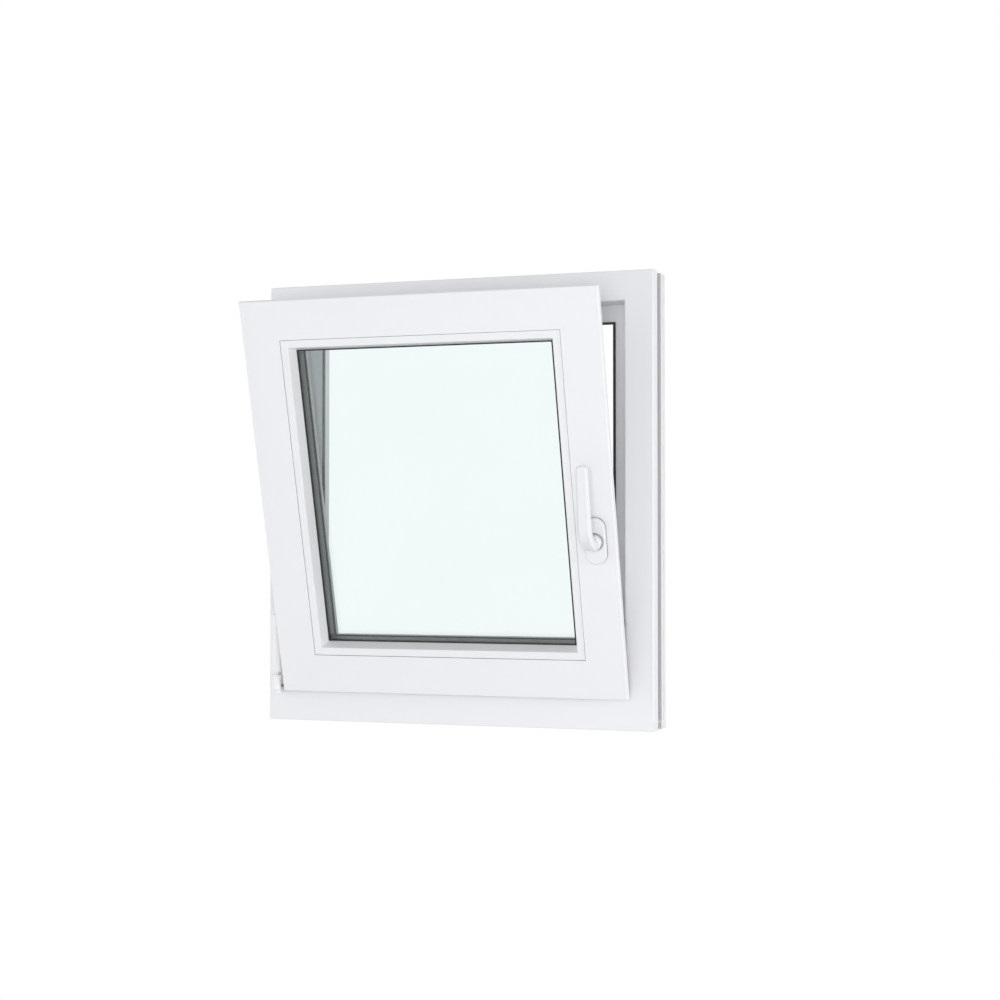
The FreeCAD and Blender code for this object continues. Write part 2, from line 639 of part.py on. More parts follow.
def make_lever_bar():
    """Return the lever: a round bar that bends up and tapers to the tip, flattened in front and behind."""
    lean = math.radians(LEVER_LEAN)
    turned = math.pi / 2 + lean
    half = LEVER_ROOT_THICKNESS / 2
    bend = bend_point(LEVER_BEND_RADIUS, 0)
    root = bend_point(LEVER_BEND_RADIUS, turned)
    rise = HANDLE_Z + LEVER_RISE - root.z
    along = Vector(0, rise * math.tan(lean), rise)
    tip = root + along
    across = Vector(0, -math.cos(lean), math.sin(lean)) * (LEVER_TIP_THICKNESS / 2)
    section = Part.Face(Part.Wire(Part.makeCircle(LEVER_ROOT_WIDTH / 2, bend, Y_AXIS)))
    elbow = section.revolve(bend_point(0, 0), X_AXIS, -math.degrees(turned))
    grip = Part.makeCone(LEVER_ROOT_WIDTH / 2, LEVER_TIP_WIDTH / 2, along.Length, root, along)
    bar = elbow.fuse(grip).removeSplitter()
    end = [edge for edge in bar.Edges if edge.CenterOfMass.distanceToPoint(tip) < PICK_TOLERANCE]
    bar = bar.makeChamfer(LEVER_END_BEVEL, end)
    front = lever_side(LEVER_BEND_RADIUS + half, tip + across)
    back = lever_side(LEVER_BEND_RADIUS - half, tip - across)
    tip_line = Part.LineSegment(tip + across, tip - across).toShape()
    bend_line = Part.LineSegment(
        bend_point(LEVER_BEND_RADIUS - half, 0), bend_point(LEVER_BEND_RADIUS + half, 0)).toShape()
    outline = Part.Face(Part.Wire(front + [tip_line] + back[::-1] + [bend_line]))
    outline.translate(X_AXIS * -LEVER_ROOT_WIDTH)
    return bar.common(outline.extrude(X_AXIS * (2 * LEVER_ROOT_WIDTH)))


def make_lever():
    """Return the handle: a round neck that turns in the rosette, and the lever on it."""
    neck_out = ROSETTE_THICKNESS - NECK_SINK + RUNNING_CLEARANCE
    neck_length = LEVER_STAND_OFF - LEVER_BEND_RADIUS - neck_out
    neck = Part.makeCylinder(NECK_RADIUS, neck_length, handle_point(neck_out, 0), Y_AXIS * -1)
    bend = bend_point(LEVER_BEND_RADIUS, 0)
    rim = [edge for edge in neck.Edges if edge.CenterOfMass.distanceToPoint(bend) < PICK_TOLERANCE]
    neck = neck.makeChamfer(NECK_BEVEL, rim)
    return neck.fuse(make_lever_bar()).removeSplitter()


def stay_motion():
    """Return the stay's swing and the lean of its axis in degrees, and its reach along the tilted sash."""
    shut_depth = SASH_FRONT_Y + FITTING_DEPTH - PIVOT_Y
    rise = SHELF_TOP - TILT_Z
    tilt = math.radians(TILT_ANGLE)
    open_depth = shut_depth * math.cos(tilt) - rise * math.sin(tilt)
    drop = rise - (shut_depth * math.sin(tilt) + rise * math.cos(tilt))
    lean = math.atan2(drop, shut_depth - open_depth)
    reach = math.hypot(STAY_LENGTH, shut_depth / math.cos(lean))
    shut_angle = math.asin(shut_depth / math.cos(lean) / reach)
    open_angle = math.asin(open_depth / math.cos(lean) / reach)
    open_reach = math.sqrt(reach ** 2 - (open_depth / math.cos(lean)) ** 2)
    return math.degrees(shut_angle - open_angle), math.degrees(lean), open_reach


def make_stay():
    """Return the cranked stay, shut: barrel, plate behind the lip, and the bar over the sash."""
    bar_y = SASH_FRONT_Y + FITTING_DEPTH
    plate_far = ROOM_FACE_Y - STAY_PLATE_FROM_FRAME
    plate_near = plate_far - STAY_PLATE_THICKNESS
    bar_high = STAY_LOW_Z + STAY_THICKNESS
    side_gap_x = -HALF_WIDTH + FRAME_FACE
    bar_start = side_gap_x + STAY_WIDTH / 2
    bar_end = TURN_X + STAY_LENGTH
    half = STAY_WIDTH / 2
    barrel = round_bar(KNUCKLE_RADIUS, BARREL_LOW_Z, BARREL_HIGH_Z)
    tab = box((TURN_X, PIVOT_Y, BARREL_LOW_Z), (TURN_X + half, plate_far, BARREL_HIGH_Z))
    plate = box((TURN_X, plate_near, BARREL_LOW_Z), (bar_start + STAY_WIDTH, plate_far, BARREL_HIGH_Z))
    riser = box((bar_start, plate_near, BARREL_LOW_Z), (bar_start + STAY_WIDTH, plate_far, bar_high))
    shoulder = box((bar_start, plate_near, STAY_LOW_Z), (bar_start + STAY_WIDTH, bar_y + half, bar_high))
    bar = box((bar_start, bar_y - half, STAY_LOW_Z), (bar_end, bar_y + half, bar_high))
    tip = Part.makeCylinder(half, STAY_THICKNESS, Vector(bar_end, bar_y, STAY_LOW_Z))
    slider_foot = Vector(bar_end, bar_y, STAY_LOW_Z - SLIDER_HEIGHT)
    slider = Part.makeCylinder(SLIDER_RADIUS, SLIDER_HEIGHT, slider_foot)
    stay = barrel.multiFuse([tab, plate, riser, shoulder, bar, tip, slider]).removeSplitter()
    bore = round_bar(HINGE_PIN_RADIUS + STAY_BORE_CLEARANCE, BARREL_LOW_Z, BARREL_HIGH_Z)
    return stay.cut(bore)


def tilted(shape):
    """Return a piece of the shut sash leaned into the room by the tilt angle."""
    return shape.copy().rotate(Vector(0, PIVOT_Y, TILT_Z), X_AXIS, TILT_ANGLE)


def swung(shape):
    """Return the shut stay swung out to meet the tilted sash."""
    swing, lean, _ = stay_motion()
    axis = Vector(0, math.sin(math.radians(lean)), -math.cos(math.radians(lean)))
    middle_z = (BARREL_LOW_Z + BARREL_HIGH_Z) / 2
    return shape.copy().rotate(Vector(TURN_X, PIVOT_Y, middle_z), axis, swing)


def build():
    """Return every piece of the window by name, with the sash tilted open."""
    pieces = make_frame_lengths()
    pieces["frame_seal"] = make_stop_seal()
    pieces["drain_caps"] = make_drain_caps()
    pieces["striker_plates"] = make_strikers()
    pieces["corner_bearing"], pieces["corner_bearing_cover"] = make_corner_bearing()
    pieces["stay_bearing"], pieces["stay_bearing_cover"] = make_stay_bearing()
    pieces["pivot_cup"], pieces["tilt_pin"] = make_pivot()
    sash = {**make_sash_lengths(), **make_beads(), **make_glazing()}
    sash["sash_seal"] = make_lip_seal()
    sash["fitting_faceplates"] = make_faceplates()
    sash["locking_cams"] = make_cams()
    sash["handle_rosette"] = make_rosette()
    sash["handle_lever"] = make_lever()
    for name, shape in sash.items():
        pieces[name] = tilted(shape)
    pieces["stay_arm"] = swung(make_stay())
    return pieces


os.makedirs("parts", exist_ok=True)
for node, solid in build().items():
    solid.exportStep("parts/" + node + ".step")
print("Stay swing and lean in degrees, and reach:", stay_motion())
print("Turn axis x and y, and tilt axis z:", TURN_X, PIVOT_Y, TILT_Z)
print("Middle of the stay's barrel z:", (BARREL_LOW_Z + BARREL_HIGH_Z) / 2)
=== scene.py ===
"""Looks of a white tilt and turn window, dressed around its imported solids."""

import logging
import math
from dataclasses import dataclass, replace
from enum import Enum

import bmesh
import bpy
from mathutils import Matrix, Vector


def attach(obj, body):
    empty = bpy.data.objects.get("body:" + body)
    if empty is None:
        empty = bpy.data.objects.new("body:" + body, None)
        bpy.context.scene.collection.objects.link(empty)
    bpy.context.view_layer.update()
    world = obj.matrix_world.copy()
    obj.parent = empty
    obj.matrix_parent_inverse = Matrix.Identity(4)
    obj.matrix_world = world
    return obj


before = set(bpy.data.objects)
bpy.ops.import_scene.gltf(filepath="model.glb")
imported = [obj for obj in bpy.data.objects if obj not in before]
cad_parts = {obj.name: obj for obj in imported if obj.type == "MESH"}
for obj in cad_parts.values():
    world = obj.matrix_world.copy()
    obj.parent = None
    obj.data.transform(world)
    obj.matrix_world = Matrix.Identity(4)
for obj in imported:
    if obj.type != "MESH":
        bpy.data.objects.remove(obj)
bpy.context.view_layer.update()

LOG = logging.getLogger("window")
SHARP_ANGLE = math.radians(32)
MERGE_DISTANCE = 1e-6

Colour = tuple[float, float, float]
Place = tuple[float, float, float]


class Body(Enum):
    """The bodies that carry small pieces, by their names in the record."""

    FRAME = "frame"
    SASH = "sash"
    STAY = "stay"


class Slot(Enum):
    """The record's material slot names; no piece in this script is given one."""

    COVER_PLASTIC = "cover_plastic"
    FITTING_STEEL = "fitting_steel"


class Grain(Enum):
    """The way that fine lines run along a profile, as the stretch of their pattern."""

    LEVEL = (0.02, 1.0, 1.0)
    UPRIGHT = (1.0, 1.0, 0.02)
    NONE = (1.0, 1.0, 1.0)


class Nodes:
    """A small helper that places and links shader nodes in one tree."""

    def __init__(self, tree: bpy.types.NodeTree) -> None:
        """Take a node tree and empty it."""
        self.tree = tree
        tree.nodes.clear()

    def add(self, kind: str, **values: object) -> bpy.types.Node:
        """Add a node and set its properties.

        Args:
            kind: The node's type without the word ShaderNode, or in full for a group's two ends.
            values: Properties of the node and what they are set to.

        Returns:
            The new node.
        """
        node = self.tree.nodes.new(kind if kind.startswith("NodeGroup") else "ShaderNode" + kind)
        for name, value in values.items():
            setattr(node, name, value)
        return node

    def link(self, start: bpy.types.NodeSocket, end: bpy.types.NodeSocket) -> None:
        """Link an output to an input."""
        self.tree.links.new(start, end)

    def place_group(self, group: bpy.types.NodeTree, **values: object) -> bpy.types.Node:
        """Place a node group and set its inputs.

        Args:
            group: The node group.
            values: Inputs by name, with underscores for spaces.

        Returns:
            The group's node.
        """
        node = self.tree.nodes.new("ShaderNodeGroup")
        node.node_tree = group
        for name, value in values.items():
            node.inputs[name.replace("_", " ")].default_value = value
        return node

    def background_rays(self) -> bpy.types.NodeSocket:
        """Mark the rays that see a white background: camera, transmission and glossy ones.

        Returns:
            The output that is 1 for these rays and 0 for the others.
        """
        path = self.add("LightPath")
        seen = self.add("Math", operation="MAXIMUM")
        self.link(path.outputs["Is Camera Ray"], seen.inputs[0])
        self.link(path.outputs["Is Transmission Ray"], seen.inputs[1])
        shown = self.add("Math", operation="MAXIMUM")
        self.link(seen.outputs[0], shown.inputs[0])
        self.link(path.outputs["Is Glossy Ray"], shown.inputs[1])
        return shown.outputs[0]


class Effects:
    """The shader node groups that several finishes share."""

    def __init__(self) -> None:
        """Build each group once."""
        self.mottle = self._mottle()
        self.relief = self._relief()
        self.painted_shade_mask = self._painted_shade_mask()

    @staticmethod
    def _open(name: str, inputs: dict[str, tuple[str, object]],
              outputs: dict[str, str]) -> tuple[Nodes, bpy.types.Node, bpy.types.Node]:
        """Start a group with its sockets.

        Args:
            name: The group's name.
            inputs: Socket types and default values by name.
            outputs: Socket types by name.

        Returns:
            The helper for the group's tree, its input node and its output node.
        """
        tree = bpy.data.node_groups.new(name, "ShaderNodeTree")
        for label, (kind, value) in inputs.items():
            socket = tree.interface.new_socket(label, in_out="INPUT", socket_type=kind)
            socket.default_value = value
        for label, kind in outputs.items():
            tree.interface.new_socket(label, in_out="OUTPUT", socket_type=kind)
        nodes = Nodes(tree)
        return nodes, nodes.add("NodeGroupInput"), nodes.add("NodeGroupOutput")

    def _mottle(self) -> bpy.types.NodeTree:
        """Build the group that varies a colour and a roughness a little over a surface.

        Returns:
            The node group.
        """
        nodes, given, result = self._open(
            "faint_mottle",
            {"Colour": ("NodeSocketColor", (0.8, 0.8, 0.8, 1)), "Amount": ("NodeSocketFloat", 0.02),
             "Scale": ("NodeSocketFloat", 9.0), "Roughness": ("NodeSocketFloat", 0.3),
             "Spread": ("NodeSocketFloat", 0.05), "Stretch": ("NodeSocketVector", (1, 1, 1))},
            {"Colour": "NodeSocketColor", "Roughness": "NodeSocketFloat"})
        place = nodes.add("TexCoord")
        stretch = nodes.add("VectorMath", operation="MULTIPLY")
        broad = nodes.add("TexNoise")
        broad.inputs["Detail"].default_value = 4.0
        nodes.link(place.outputs["Object"], stretch.inputs[0])
        nodes.link(given.outputs["Stretch"], stretch.inputs[1])
        nodes.link(stretch.outputs[0], broad.inputs["Vector"])
        nodes.link(given.outputs["Scale"], broad.inputs["Scale"])
        offset = nodes.add("MapRange")
        offset.inputs["From Min"].default_value = 0.25
        offset.inputs["From Max"].default_value = 0.75
        offset.inputs["To Min"].default_value = -1.0
        nodes.link(broad.outputs["Fac"], offset.inputs["Value"])
        share = nodes.add("Math", operation="MULTIPLY_ADD")
        share.inputs[2].default_value = 1.0
        nodes.link(offset.outputs["Result"], share.inputs[0])
        nodes.link(given.outputs["Amount"], share.inputs[1])
        tone = nodes.add("VectorMath", operation="SCALE")
        nodes.link(given.outputs["Colour"], tone.inputs[0])
        nodes.link(share.outputs[0], tone.inputs["Scale"])
        nodes.link(tone.outputs[0], result.inputs["Colour"])
        rough = nodes.add("Math", operation="MULTIPLY_ADD", use_clamp=True)
        nodes.link(offset.outputs["Result"], rough.inputs[0])
        nodes.link(given.outputs["Spread"], rough.inputs[1])
        nodes.link(given.outputs["Roughness"], rough.inputs[2])
        nodes.link(rough.outputs[0], result.inputs["Roughness"])
        return nodes.tree

    def _relief(self) -> bpy.types.NodeTree:
        """Build the group that gives a surface its fine skin, as a height in metres.

        Returns:
            The node group.
        """
        nodes, given, result = self._open(
            "fine_skin",
            {"Scale": ("NodeSocketFloat", 900.0), "Depth": ("NodeSocketFloat", 0.00001),
             "Line Scale": ("NodeSocketFloat", 700.0), "Line Depth": ("NodeSocketFloat", 0.0),
             "Stretch": ("NodeSocketVector", (1, 1, 1))},
            {"Height": "NodeSocketFloat"})
        place = nodes.add("TexCoord")
        skin = nodes.add("TexNoise")
        skin.inputs["Detail"].default_value = 2.0
        nodes.link(place.outputs["Object"], skin.inputs["Vector"])
        nodes.link(given.outputs["Scale"], skin.inputs["Scale"])
        stretch = nodes.add("VectorMath", operation="MULTIPLY")
        nodes.link(place.outputs["Object"], stretch.inputs[0])
        nodes.link(given.outputs["Stretch"], stretch.inputs[1])
        lines = nodes.add("TexNoise")
        lines.inputs["Detail"].default_value = 1.0
        nodes.link(stretch.outputs[0], lines.inputs["Vector"])
        nodes.link(given.outputs["Line Scale"], lines.inputs["Scale"])
        fine = nodes.add("Math", operation="MULTIPLY")
        nodes.link(skin.outputs["Fac"], fine.inputs[0])
        nodes.link(given.outputs["Depth"], fine.inputs[1])
        total = nodes.add("Math", operation="MULTIPLY_ADD")
        nodes.link(lines.outputs["Fac"], total.inputs[0])
        nodes.link(given.outputs["Line Depth"], total.inputs[1])
        nodes.link(fine.outputs[0], total.inputs[2])
        nodes.link(total.outputs[0], result.inputs["Height"])
        return nodes.tree

    def _painted_shade_mask(self) -> bpy.types.NodeTree:
        """Build the mask of the deep groove round the frame's outer side, where the colour is darkened as
        painted shade.

        Returns:
            The node group.
        """
        nodes, given, result = self._open(
            "outer_groove_painted_shade",
            {"Middle": ("NodeSocketVector", (0, 0.0215, 0.328)), "Half Width": ("NodeSocketFloat", 0.3),
             "Half Height": ("NodeSocketFloat", 0.328), "Half Groove": ("NodeSocketFloat", 0.0101),
             "Depth": ("NodeSocketFloat", 0.0101)},
            {"Mask": "NodeSocketFloat"})
        place = nodes.add("TexCoord")
        offset = nodes.add("VectorMath", operation="SUBTRACT")
        nodes.link(place.outputs["Object"], offset.inputs[0])
        nodes.link(given.outputs["Middle"], offset.inputs[1])
        size = nodes.add("VectorMath", operation="ABSOLUTE")
        nodes.link(offset.outputs[0], size.inputs[0])
        away = nodes.add("SeparateXYZ")
        nodes.link(size.outputs[0], away.inputs[0])
        side = nodes.add("Math", operation="SUBTRACT")
        nodes.link(given.outputs["Half Width"], side.inputs[0])
        nodes.link(away.outputs["X"], side.inputs[1])
        end = nodes.add("Math", operation="SUBTRACT")
        nodes.link(given.outputs["Half Height"], end.inputs[0])
        nodes.link(away.outputs["Z"], end.inputs[1])
        inside = nodes.add("Math", operation="MINIMUM")
        nodes.link(side.outputs[0], inside.inputs[0])
        nodes.link(end.outputs[0], inside.inputs[1])
        outer = nodes.add("Math", operation="LESS_THAN")
        nodes.link(inside.outputs[0], outer.inputs[0])
        nodes.link(given.outputs["Depth"], outer.inputs[1])
        between = nodes.add("Math", operation="LESS_THAN")
        nodes.link(away.outputs["Y"], between.inputs[0])
        nodes.link(given.outputs["Half Groove"], between.inputs[1])
        mask = nodes.add("Math", operation="MULTIPLY")
        nodes.link(outer.outputs[0], mask.inputs[0])
        nodes.link(between.outputs[0], mask.inputs[1])
        nodes.link(mask.outputs[0], result.inputs["Mask"])
        return nodes.tree


@dataclass(frozen=True)
class Finish:
    """An opaque finish: its colour, gloss and fine skin, and any painted shade in the frame's outer
    groove.
    """

    name: str
    colour: Colour
    roughness: float
    metallic: float = 0.0
    specular: float = 0.5
    coat: float = 0.0
    mottle_amount: float = 0.015
    mottle_scale: float = 9.0
    rough_spread: float = 0.05
    skin_scale: float = 900.0
    skin_depth: float = 0.00001
    line_scale: float = 700.0
    line_depth: float = 0.0
    grain: Grain = Grain.NONE
    # How much the colour darkens in the frame's outer groove, as painted shade.
    painted_groove_shade: float = 0.0

    def make(self, effects: Effects) -> bpy.types.Material:
        """Build the finish's material.

        Args:
            effects: The shared node groups.

        Returns:
            The material.
        """
        material = bpy.data.materials.new(self.name)
        material.use_nodes = True
        nodes = Nodes(material.node_tree)
        shader = nodes.add("BsdfPrincipled")
        shader.inputs["Metallic"].default_value = self.metallic
        shader.inputs["Specular IOR Level"].default_value = self.specular
        shader.inputs["Coat Weight"].default_value = self.coat
        mottle = nodes.place_group(
            effects.mottle, Colour=(*self.colour, 1), Amount=self.mottle_amount, Scale=self.mottle_scale,
            Roughness=self.roughness, Spread=self.rough_spread, Stretch=self.grain.value)
        relief = nodes.place_group(
            effects.relief, Scale=self.skin_scale, Depth=self.skin_depth, Line_Scale=self.line_scale,
            Line_Depth=self.line_depth, Stretch=self.grain.value)
        bump = nodes.add("Bump")
        bump.inputs["Distance"].default_value = 1.0
        nodes.link(relief.outputs["Height"], bump.inputs["Height"])
        tone = mottle.outputs["Colour"]
        # Painted shade: the colour darkens in the frame's outer groove, standing in for its shadow.
        if self.painted_groove_shade:
            tone = self._paint_groove_shade(nodes, effects, tone)
        nodes.link(tone, shader.inputs["Base Color"])
        nodes.link(mottle.outputs["Roughness"], shader.inputs["Roughness"])
        nodes.link(bump.outputs["Normal"], shader.inputs["Normal"])
        output = nodes.add("OutputMaterial")
        nodes.link(shader.outputs["BSDF"], output.inputs["Surface"])
        return material

    def _paint_groove_shade(self, nodes: Nodes, effects: Effects,
                      colour: bpy.types.NodeSocket) -> bpy.types.NodeSocket:
        """Darken a colour in the groove round the frame, as painted shade that stands in for the groove's
        shadow.

        Args:
            nodes: The material's nodes.
            effects: The shared node groups.
            colour: The output that gives the plain colour.

        Returns:
            The output that gives the darkened colour.
        """
        painted_shade_mask = nodes.place_group(effects.painted_shade_mask)
        share = nodes.add("Math", operation="MULTIPLY_ADD")
        share.inputs[1].default_value = -self.painted_groove_shade
        share.inputs[2].default_value = 1.0
        nodes.link(painted_shade_mask.outputs["Mask"], share.inputs[0])
        tone = nodes.add("VectorMath", operation="SCALE")
        nodes.link(colour, tone.inputs[0])
        nodes.link(share.outputs[0], tone.inputs["Scale"])
        return tone.outputs[0]


@dataclass(frozen=True)
class PaneGlass:
    """Clear coated glass with a faint tint, which lets part of the lamps' light through."""

    name: str = "pane_float_glass"
    tint: Colour = (0.934, 0.978, 0.974)
    shade: Colour = (0.46, 0.48, 0.475)
    ior: float = 1.5
    film_scale: float = 6.0
    film_rough: float = 0.012
    film_amount: float = 0.004

    def make(self, effects: Effects) -> bpy.types.Material:
        """Build the glass.

        Args:
            effects: The shared node groups.

        Returns:
            The material.
        """
        material = bpy.data.materials.new(self.name)
        material.use_nodes = True
        nodes = Nodes(material.node_tree)
        glass = nodes.add("BsdfPrincipled")
        glass.inputs["Transmission Weight"].default_value = 1.0
        glass.inputs["IOR"].default_value = self.ior
        film = nodes.place_group(
            effects.mottle, Colour=(*self.tint, 1), Amount=self.film_amount, Scale=self.film_scale,
            Roughness=self.film_rough, Spread=self.film_rough)
        nodes.link(film.outputs["Colour"], glass.inputs["Base Color"])
        nodes.link(film.outputs["Roughness"], glass.inputs["Roughness"])
        clear = nodes.add("BsdfTransparent")
        clear.inputs["Color"].default_value = (*self.shade, 1)
        path = nodes.add("LightPath")
        choice = nodes.add("MixShader")
        either = nodes.add("Math", operation="MAXIMUM")
        nodes.link(path.outputs["Is Shadow Ray"], either.inputs[0])
        nodes.link(path.outputs["Is Diffuse Ray"], either.inputs[1])
        nodes.link(either.outputs[0], choice.inputs["Fac"])
        nodes.link(glass.outputs["BSDF"], choice.inputs[1])
        nodes.link(clear.outputs["BSDF"], choice.inputs[2])
        output = nodes.add("OutputMaterial")
        nodes.link(choice.outputs["Shader"], output.inputs["Surface"])
        return material


class Finishes:
    """The finishes of the window, one or more for each slot."""

    WHITE: Colour = (0.83, 0.835, 0.85)

    def __init__(self) -> None:
        """Build every material once."""
        effects = Effects()
        # The profiles carry painted shade in the frame's outer groove.
        level = Finish("profile_plastic_level", self.WHITE, roughness=0.32, line_depth=0.000012,
                       grain=Grain.LEVEL, painted_groove_shade=0.36)
        upright = replace(level, name="profile_plastic_upright", grain=Grain.UPRIGHT)
        self.plastic_level = level.make(effects)
        self.plastic_upright = upright.make(effects)
        self.cover = Finish("moulded_cover_plastic", (0.86, 0.86, 0.87), roughness=0.36,
                            skin_depth=0.00002).make(effects)
        self.rubber = Finish("sealing_rubber", (0.022, 0.022, 0.024), roughness=0.55, mottle_amount=0.15,
                             mottle_scale=60.0, skin_scale=1500.0, skin_depth=0.00003).make(effects)
        self.steel = Finish("zinc_plated_steel", (0.52, 0.53, 0.54), roughness=0.34, metallic=1.0,
                            mottle_amount=0.08, mottle_scale=140.0, rough_spread=0.08,
                            skin_depth=0.000004).make(effects)
        self.dark_steel = Finish("oiled_pin_steel", (0.22, 0.225, 0.23), roughness=0.38, metallic=1.0,
                                 mottle_amount=0.1, mottle_scale=160.0, skin_depth=0.000004).make(effects)
        self.spacer = Finish("spacer_aluminium", (0.20, 0.215, 0.212), roughness=0.5, metallic=0.6,
                             mottle_amount=0.06, mottle_scale=90.0).make(effects)
        self.enamel = Finish("handle_powder_coat", (0.8, 0.805, 0.82), roughness=0.3, skin_scale=1400.0,
                             skin_depth=0.00003, coat=0.2).make(effects)
        # Dark grey nylon for the handle's base and bush: painted shade at the rosette's rim and round the
        # neck.
        self.shade_nylon = Finish("dark_nylon_painted_shade", (0.36, 0.363, 0.37), roughness=0.5, mottle_amount=0.06,
                            mottle_scale=80.0, skin_depth=0.00002).make(effects)
        self.glass = PaneGlass().make(effects)


def dress(node: str, material: bpy.types.Material) -> None:
    """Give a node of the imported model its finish.

    Args:
        node: The node's name.
        material: The finish.
    """
    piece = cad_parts[node]
    if not piece.material_slots:
        piece.data.materials.append(material)
    for place in piece.material_slots:
        place.material = material
    LOG.info("dressed %s with %s", node, material.name)


def add_piece(name: str, mesh: bmesh.types.BMesh, body: Body,
              material: bpy.types.Material) -> None:
    """Turn a finished bmesh into a piece that rides on a body.

    Args:
        name: The piece's name.
        mesh: The shape, in place; open undersides are closed here, and it is freed.
        body: The body that carries the piece.
        material: Its finish.
    """
    data = bpy.data.meshes.new(name)
    bmesh.ops.holes_fill(mesh, edges=mesh.edges)
    bmesh.ops.recalc_face_normals(mesh, faces=mesh.faces)
    mesh.to_mesh(data)
    mesh.free()
    data.materials.append(material)
    data.shade_smooth()
    data.set_sharp_from_angle(angle=SHARP_ANGLE)
    piece = bpy.data.objects.new(name, data)
    bpy.context.scene.collection.objects.link(piece)
    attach(piece, body.value)
    LOG.info("made %s, %d faces, on the %s", name, len(data.polygons), body.value)


def verts_of(geom: list[object]) -> list[bmesh.types.BMVert]:
    """Return the vertices among what an operator made."""
    return [item for item in geom if isinstance(item, bmesh.types.BMVert)]


def edges_of(verts: list[bmesh.types.BMVert]) -> list[bmesh.types.BMEdge]:
    """Return the edges that touch some vertices, each once and in order."""
    return list(dict.fromkeys(edge for vert in verts for edge in vert.link_edges))


def facing(foot: Vector, way: Vector) -> Matrix:
    """Return the move of a shape made along +Z to a foot, where it faces a way."""
    return Matrix.Translation(foot) @ way.to_track_quat("Z", "Y").to_matrix().to_4x4()


def spin_outline(mesh: bmesh.types.BMesh, points: list[Place], axis: Place, segments: int,
                 closed: bool = False) -> None:
    """Spin an outline round an axis through the origin.

    Args:
        mesh: The empty mesh that gains the shape.
        points: The outline's points, in order.
        axis: The axis's direction.
        segments: How many steps the turn has.
        closed: Whether the last point joins the first.
    """
    line = [mesh.verts.new(point) for point in points]
    ends = line[1:] + line[:1] if closed else line[1:]
    edges = [mesh.edges.new(pair) for pair in zip(line, ends)]
    bmesh.ops.spin(mesh, geom=line + edges, cent=(0, 0, 0), axis=axis, dvec=(0, 0, 0),
                   angle=math.tau, steps=segments, use_merge=True)
    bmesh.ops.remove_doubles(mesh, verts=mesh.verts, dist=MERGE_DISTANCE)


@dataclass
class Screw:
    """The low head of a screw with a sloped rim and a cross recess, made along +Z."""

    radius: float = 0.0042
    height: float = 0.0007
    arm: float = 0.0022
    width: float = 0.0009
    depth: float = 0.0005
    top_share: float = 0.86
    segments: int = 12

    def add_to(self, mesh: bmesh.types.BMesh, foot: Vector, way: Vector, turn: float) -> None:
        """Add one head to a mesh.

        Args:
            mesh: The mesh that gains the head.
            foot: The middle of the head's underside.
            way: The way that the head faces.
            turn: How far the recess is turned, in degrees.
        """
        made = bmesh.ops.create_grid(mesh, x_segments=3, y_segments=3, size=self.arm)["verts"]
        # The grid's inner lines close in to the width of the cross.
        for vert in made:
            for axis in (0, 1):
                if abs(vert.co[axis]) < self.arm / 2:
                    vert.co[axis] = math.copysign(self.width / 2, vert.co[axis])
            vert.co.z = self.height
        faces = dict.fromkeys(face for vert in made for face in vert.link_faces)
        cross = [face for face in faces
                 if min(abs(c) for c in face.calc_center_median().xy) < self.width / 4]
        edges = [edge for edge in edges_of(made) if edge.is_boundary]
        top = self.radius * self.top_share
        rim = bmesh.ops.create_circle(mesh, segments=self.segments, radius=top)["verts"]
        bmesh.ops.translate(mesh, verts=rim, vec=(0, 0, self.height))
        half_step = Matrix.Rotation(math.pi / self.segments, 3, "Z")
        bmesh.ops.rotate(mesh, verts=rim, cent=(0, 0, 0), matrix=half_step)
        ring = edges_of(rim)
        bmesh.ops.bridge_loops(mesh, edges=edges + ring)
        # The sloped rim widens down to the underside, and the cross sinks in.
        low = verts_of(bmesh.ops.extrude_edge_only(mesh, edges=ring)["geom"])
        bmesh.ops.scale(mesh, verts=low, vec=(1 / self.top_share, 1 / self.top_share, 0.0))
        floor = verts_of(bmesh.ops.extrude_face_region(mesh, geom=cross)["geom"])
        bmesh.ops.delete(mesh, geom=cross, context="FACES")
        bmesh.ops.translate(mesh, verts=floor, vec=(0, 0, -self.depth))
        whole = list({*made, *rim, *low, *floor})
        turned = Matrix.Rotation(math.radians(turn), 4, "Z")
        bmesh.ops.transform(mesh, verts=whole, matrix=facing(foot, way) @ turned)


@dataclass
class SocketCap:
    """The end of a cam with a six-sided key socket, made along +Z."""

    radius: float = 0.0034
    height: float = 0.0004
    socket: float = 0.0021
    depth: float = 0.0003
    sides: int = 6
    segments: int = 24

    def add_to(self, mesh: bmesh.types.BMesh, foot: Vector, way: Vector) -> None:
        """Add one cap to a mesh.

        Args:
            mesh: The mesh that gains the cap.
            foot: The middle of the cap's underside.
            way: The way that the socket faces.
        """
        rim = bmesh.ops.create_circle(mesh, segments=self.segments, radius=self.radius)["verts"]
        key = bmesh.ops.create_circle(mesh, segments=self.sides, radius=self.socket)["verts"]
        bmesh.ops.translate(mesh, verts=rim + key, vec=(0, 0, self.height))
        ring = edges_of(rim)
        six = edges_of(key)
        bmesh.ops.bridge_loops(mesh, edges=ring + six)
        low = verts_of(bmesh.ops.extrude_edge_only(mesh, edges=ring)["geom"])
        bmesh.ops.translate(mesh, verts=low, vec=(0, 0, -self.height))
        sunk = verts_of(bmesh.ops.extrude_edge_only(mesh, edges=six)["geom"])
        bmesh.ops.translate(mesh, verts=sunk, vec=(0, 0, -self.depth))
        bmesh.ops.contextual_create(mesh, geom=sunk)
        whole = list({*rim, *key, *low, *sunk})
        bmesh.ops.transform(mesh, verts=whole, matrix=facing(foot, way))


